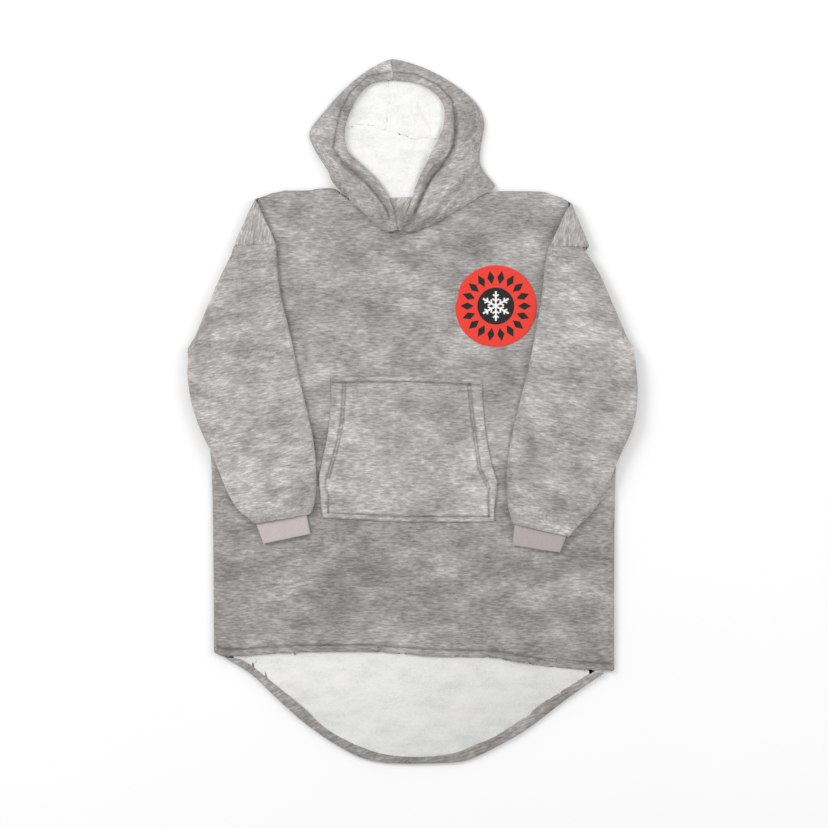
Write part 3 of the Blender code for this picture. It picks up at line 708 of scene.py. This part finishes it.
# %% Tail band
HEM_FOLDS = [
    (4, 0.5, [(-200, -548), (-190, -540), (-182, -533)]),
    (5, 0.5, [(120, -622), (124, -612), (128, -600)]),
]

hem = copy_of("tail_hem", "tail_band")
rounded(hem, 2)
crease(hem, HEM_FOLDS)
uneven(hem, [(24, 0.5), (9, 0.2)])
grain(hem, 20, tone=0.92)
finish("tail_band", FLEECE, (0.018, 0.92), 0.9)

# %% [markdown]
# ## The pocket
# The kangaroo pocket is one piece of cloth, sewn down along its top and bottom and at its
# lower corners. Its slanted sides stay open and have a wide turned hem with two rows.

# %% Pocket
POCKET_ROWS = {
    "top": [(-144, 50), (-10, 52), (122, 46)],
    "bottom": [(-152, -184), (-10, -191), (138, -191)],
    "left_outer": [
        (-125, 52), (-129, -19), (-138, -64), (-156, -124), (-157, -140), (-151, -152), (-152, -184),
    ],
    "left_inner": [(-120, 50), (-124, -19), (-133, -65), (-150, -122)],
    "right_outer": [(104, 48), (111, -19), (123, -104), (139, -138), (136, -155), (138, -191)],
    "right_inner": [(99, 47), (106, -19), (118, -104), (133, -136)],
}
POCKET_FOLDS = [
    (14, 1.2, [(-100, -20), (-40, -34), (30, -22)]),
    (12, 1.1, [(-112, -120), (-50, -100), (20, -112)]),
    (12, 1.2, [(100, -40), (60, -78), (20, -86)]),
    (9, 0.9, [(-120, -60), (-100, -92), (-96, -130)]),
]

pocket = copy_of("pocket", "pocket_cloth")
cut_in_squares(pocket, 6 * MM)
refine(pocket, POCKET_ROWS.values(), reach=5.0, cuts=2)
soften(pocket, 2)
crease(pocket, POCKET_FOLDS)
uneven(pocket, [(70, 0.7), (30, 0.4), (14, 0.15)])
groove(pocket, POCKET_ROWS.values(), width=1.7, depth=2.0)
# The pocket's tone holds painted shade in each sewn valley and a painted highlight on the swell beside it.
grain(pocket, 0, tone=np.minimum(1.17 * painted_seam_shade(pocket, POCKET_ROWS.values()), 1.5), shift=0.4)
finish("pocket_cloth", FLEECE, (0.325, 0.265), 0.9)

# %% [markdown]
# ## The chest motif's disc
# It is a thin smooth patch that follows the front's dome, so its copy needs only rounding.

# %% Chest patch
patch = copy_of("chest_patch", "motif_disc")
rounded(patch, 2)
uneven(patch, [(50, 0.25)])
finish("motif_disc", MOTIF, (0.148, 0.148), 0.78)

# %% [markdown]
# ## The sleeves
# Each sleeve is a flattened tube that was folded over at the side of the body. Its top
# edge is gathered into the cuff, so short folds fan out above the cuff, and longer slack
# folds cross it at the elbow.

# %% Sleeves
SLEEVE_FOLDS = {
    "left": [
        (12, 2.0, [(-368, 150), (-322, 168), (-268, 160)]),
        (14, 1.8, [(-392, 60), (-330, 92), (-262, 84)]),
        (13, 1.7, [(-380, -10), (-310, 14), (-250, -2)]),
        (13, 1.8, [(-350, -60), (-290, -62), (-224, -36)]),
        (10, 1.5, [(-316, -128), (-262, -112), (-212, -118)]),
        (4, 2.0, [(-251, -166), (-240, -172), (-236, -186)]),
        (4, 1.8, [(-276, -160), (-262, -164), (-251, -166)]),
        (4, 1.7, [(-212, -160), (-214, -172), (-212, -184)]),
        (3.5, 1.5, [(-268, -170), (-266, -184), (-268, -194)]),
        (4, 1.5, [(-194, -158), (-198, -172), (-196, -180)]),
        (3.5, 1.4, [(-226, -158), (-226, -172), (-224, -186)]),
    ],
    "right": [
        (12, 2.0, [(366, 148), (318, 166), (262, 158)]),
        (14, 1.8, [(392, 60), (330, 88), (262, 80)]),
        (13, 1.7, [(384, -10), (318, 8), (250, -10)]),
        (13, 1.8, [(352, -60), (292, -70), (220, -52)]),
        (10, 1.5, [(318, -140), (262, -130), (204, -140)]),
        (4, 2.0, [(202, -124), (213, -162), (225, -190)]),
        (4, 1.8, [(277, -178), (266, -196), (252, -208)]),
        (4, 1.6, [(246, -166), (244, -186), (242, -206)]),
        (3.5, 1.5, [(190, -168), (196, -184), (196, -198)]),
        (3.5, 1.5, [(226, -170), (230, -188), (232, -204)]),
    ],
}
SLEEVE_END = {
    "left": ([(-281, -198), (-184, -180)], (0.8, -4.2)),
    "right": ([(180, -200), (279, -222)], (-1.0, -4.2)),
}
SLEEVE_TURN = {"left": 11.0, "right": -9.0}

for side, folds in SLEEVE_FOLDS.items():
    sleeve = copy_of(f"sleeve_{side}", f"{side}_sleeve_cloth")
    rounded(sleeve, 2)
    crease(sleeve, folds, over=17)
    uneven(sleeve, [(80, 1.1), (34, 0.6), (15, 0.18)], over=17)
    pull(sleeve, ARM_SEAM[side], (0, 3.4))
    pull(sleeve, *SLEEVE_END[side], reach=18)
    groove(sleeve, [ARM_SEAM[side]], width=3.5, depth=1.2)
    grain(sleeve, SLEEVE_TURN[side], tone=1.18, shift=0.9 if side == "left" else 1.7)
    finish(f"{side}_sleeve_cloth", FLEECE, (0.46, 0.53), 0.7)

# %% [markdown]
# ## The cuffs
# A rib knit has columns that stand up along the arm. The cuff's copy is cut across into
# thin strips, and every other strip is raised, so the ribs are really there.

# %% Cuffs
CUFF_ACROSS = {"left": (0.9814, 0.1920), "right": (0.9743, -0.2252)}
RIB_PITCH = 2.3


def rib(piece, across, pitch=RIB_PITCH, height=0.32):
    """Cuts the piece into strips across a direction and raises them into columns."""
    mesh = bmesh.new()
    mesh.from_mesh(piece.data)
    normal = Vector((*across, 0.0))
    places = [vert.co.dot(normal) for vert in mesh.verts]
    for place in np.arange(min(places) + 0.1 * MM, max(places), pitch * MM / 4):
        bmesh.ops.bisect_plane(
            mesh, geom=mesh.verts[:] + mesh.edges[:] + mesh.faces[:], dist=0.05 * MM,
            plane_co=normal * place, plane_no=normal,
        )
    mesh.to_mesh(piece.data)
    mesh.free()
    points, normals = points_of(piece)
    phase = points[:, :2] @ np.array(across) / (pitch * MM) * 2 * math.pi
    flat = smooth((np.abs(normals[:, 2]) - 0.4) / 0.4)
    points += normals * (np.cos(phase) * flat * height * MM)[:, None]
    put_points(piece, points)


for side, across in CUFF_ACROSS.items():
    cuff = copy_of(f"cuff_{side}", f"{side}_cuff_knit")
    rounded(cuff, 1)
    rib(cuff, across)
    grain(cuff, math.degrees(math.atan2(across[1], across[0])), tone=1.04 if side == "left" else 0.85)
    finish(f"{side}_cuff_knit", RIB, (0.185, 0.045))

# %% [markdown]
# ## The hood
# The hood stands a little open. Each half is a thick shell whose rim is a turned hem,
# sewn 16 mm from the edge, and the roll outside it folds over the neck. The lining inside
# is a bowl in three pieces with the same curly pile as the tail.

# %% Hood halves
HOOD_STITCH = {
    "left": [(-39, 609), (-80, 602), (-112, 573), (-130, 536), (-137, 505), (-143, 471), (-124, 444),
             (-92, 418), (-66, 392), (-49, 367), (-41, 346)],
    "right": [(-33, 609), (6, 605), (46, 586), (71, 560), (76, 526), (77, 498), (71, 468),
              (52, 440), (32, 414), (16, 384), (4, 357)],
}
HOOD_FOLDS = {
    "left": [
        (3.4, 6.0, [(-164, 482), (-152, 467), (-130, 449), (-112, 432),
                    (-82, 415), (-67, 394), (-46, 369), (-30, 340)]),
        (8, 2.0, [(-166, 505), (-150, 530), (-140, 552)]),
        (7, 1.6, [(-130, 580), (-108, 596), (-84, 608)]),
        (5, 1.8, [(-120, 415), (-96, 390), (-74, 358)]),
    ],
    "right": [
        (3.4, 6.0, [(68, 571), (76, 546), (78, 525), (78, 503), (74, 471), (67, 453),
                    (54, 442), (39, 432), (29, 417), (19, 391), (6, 359), (-4, 331)]),
        (4.0, 5.5, [(122, 452), (97, 415), (65, 381), (39, 348), (12, 325)]),
        (7, 6.0, [(64, 586), (80, 563), (92, 543)]),
        (3.2, 3.6, [(77, 541), (92, 534), (111, 525), (114, 505), (95, 483), (77, 479)]),
        (6, 1.6, [(92, 452), (70, 420), (46, 386)]),
    ],
}
CROWN_SEAM = [(-36, 640), (-36, 590)]

for side in ("left", "right"):
    half = copy_of(f"hood_{side}", f"{side}_hood_cloth")
    rounded(half, 3)
    crease(half, HOOD_FOLDS[side], over=6)
    uneven(half, [(44, 0.8), (18, 0.35)], over=6)
    pull(half, CROWN_SEAM, (2.6 if side == "left" else -2.6, 0))
    groove(half, [HOOD_STITCH[side], CROWN_SEAM], width=1.9, depth=1.6)
    # The hood's tone holds painted shade in the rim's sewn valley and a painted highlight on the swell
    # beside it.
    shade = 1.12 * painted_seam_shade(half, [HOOD_STITCH[side]], dark=0.3, light=0.05)
    grain(half, -12 if side == "left" else 14, tone=shade, shift=2.3)
    finish(f"{side}_hood_cloth", FLEECE, (0.26, 0.35), 0.58)

# %% [markdown]
# ## The hood's lining
# The bowl inside the hood is three pieces of pile. Their edges are drawn over the seams
# between them, so that no gap shows, and each seam is then pressed in as a shallow line.

# %% Hood lining
LINING_SEAMS = [
    [(-42, 598), (-40, 560), (-45, 530), (-50, 506)],
    [(-128, 511), (-85, 513), (-50, 506), (0, 490), (54, 492)],
]
LINING_PULLS = {
    "hood_lining_left": [(2.6, 0), (0, -2.6)],
    "hood_lining_right": [(-2.6, 0), (0, -2.6)],
    "neck_lining": [(0, 0), (0, 3.2)],
}
LINING_FOLDS = [
    (4, 2.4, [(8, 558), (24, 530), (38, 500), (40, 492)]),
    (3, 1.6, [(0, 560), (2, 535), (10, 520)]),
    (4, 2.0, [(-108, 486), (-94, 482), (-80, 470)]),
    (6, 1.4, [(-20, 470), (-4, 440), (-6, 410)]),
]

LINING_CUTS = {
    "hood_lining_left": (0.090, 0.093),
    "hood_lining_right": (0.113, 0.109),
    "neck_lining": (0.17, 0.165),
}

for node, cut in LINING_CUTS.items():
    piece = copy_of(node, f"{node}_pile")
    cut_in_squares(piece, 2.4 * MM)
    soften(piece, 3)
    for seam, shift in zip(LINING_SEAMS, LINING_PULLS[node]):
        pull(piece, seam, shift)
    crease(piece, LINING_FOLDS)
    uneven(piece, [(26, 0.6)])
    groove(piece, LINING_SEAMS, width=2.6, depth=0.9)
    curl(piece, 5.5, 1.0, lambda points: points[:, 2] > 0)
    grain(piece, 0)
    finish(f"{node}_pile", SHERPA, cut, 0.66)

# %% [markdown]
# ## The neck facing
# A small piece of fleece fills the foot of the face opening. Its right edge and its tip
# are drawn out to reach the two rims beside it.

# %% Neck facing
facing = copy_of("neck_facing", "neck_facing_cloth")
rounded(facing, 2)
pull(facing, [(-3, 385), (-21, 337)], (4, 0), reach=14)
pull(facing, [(-30, 337), (-21, 337)], (1, -13), reach=30)
grain(facing, 60, tone=1.25)
finish("neck_facing_cloth", FLEECE, (0.04, 0.04), 0.7)

# %% [markdown]
# ## Stitches
# A sewn row is a line of short threads, each one dipping into the cloth at both ends. One
# stitch is modelled from a small sphere and then copied along every row, laid on the
# surface that it holds.

# %% One stitch, then rows of them
STITCH_PITCH = 3.4
STITCH_LENGTH = 2.7

bpy.ops.object.select_all(action="DESELECT")
bpy.ops.mesh.primitive_uv_sphere_add(segments=6, ring_count=4, radius=0.5)
stitch = bpy.context.object
stitch_points = points_of(stitch)[0] * (STITCH_LENGTH * MM, 0.8 * MM, 0.7 * MM)
stitch_faces = [tuple(face.vertices) for face in stitch.data.polygons]
bpy.data.objects.remove(stitch, do_unlink=True)


def sew(name, rows, cloth):
    """Rows of stitches on a piece of cloth, as one object."""
    mesh = bmesh.new()
    mesh.from_mesh(cloth.data)
    tree = BVHTree.FromBMesh(mesh)
    mesh.free()
    points, faces = [], []
    for row in rows:
        row = np.asarray(row, float)
        runs = np.concatenate([[0], np.cumsum(np.linalg.norm(np.diff(row, axis=0), axis=1))])
        at = np.arange(STITCH_PITCH / 2, runs[-1], STITCH_PITCH)
        spots = np.stack([np.interp(at, runs, row[:, k]) for k in (0, 1)], axis=1)
        ahead = np.stack([np.interp(at + 0.5, runs, row[:, k]) for k in (0, 1)], axis=1) - spots
        for spot, way in zip(spots, ahead):
            hit, normal = tree.ray_cast(Vector((*spot * MM, 1.0)), Vector((0, 0, -1)))[:2]
            if hit is None or normal.z < 0.3:
                continue
            along = Vector((*way, 0.0))
            along = (along - normal * along.dot(normal)).normalized()
            axes = np.array([along, normal.cross(along), normal])
            first = len(points) * len(stitch_points)
            points.append(stitch_points @ axes + np.array(hit + normal * 0.12 * MM))
            faces += [tuple(i + first for i in face) for face in stitch_faces]
    data = bpy.data.meshes.new(name)
    data.from_pydata(np.vstack(points).tolist(), [], faces)
    piece = bpy.data.objects.new(name, data)
    bpy.context.scene.collection.objects.link(piece)
    data.materials.append(THREAD)
    data.shade_smooth()
    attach(piece, "root")
    print(name, "stitches", len(points))


sew("front_hem_stitches", [HEM_STITCH], front)
sew("pocket_stitches", POCKET_ROWS.values(), pocket)
for side, row in HOOD_STITCH.items():
    sew(f"{side}_hood_stitches", [row], PIECES[f"{side}_hood_cloth"][0])
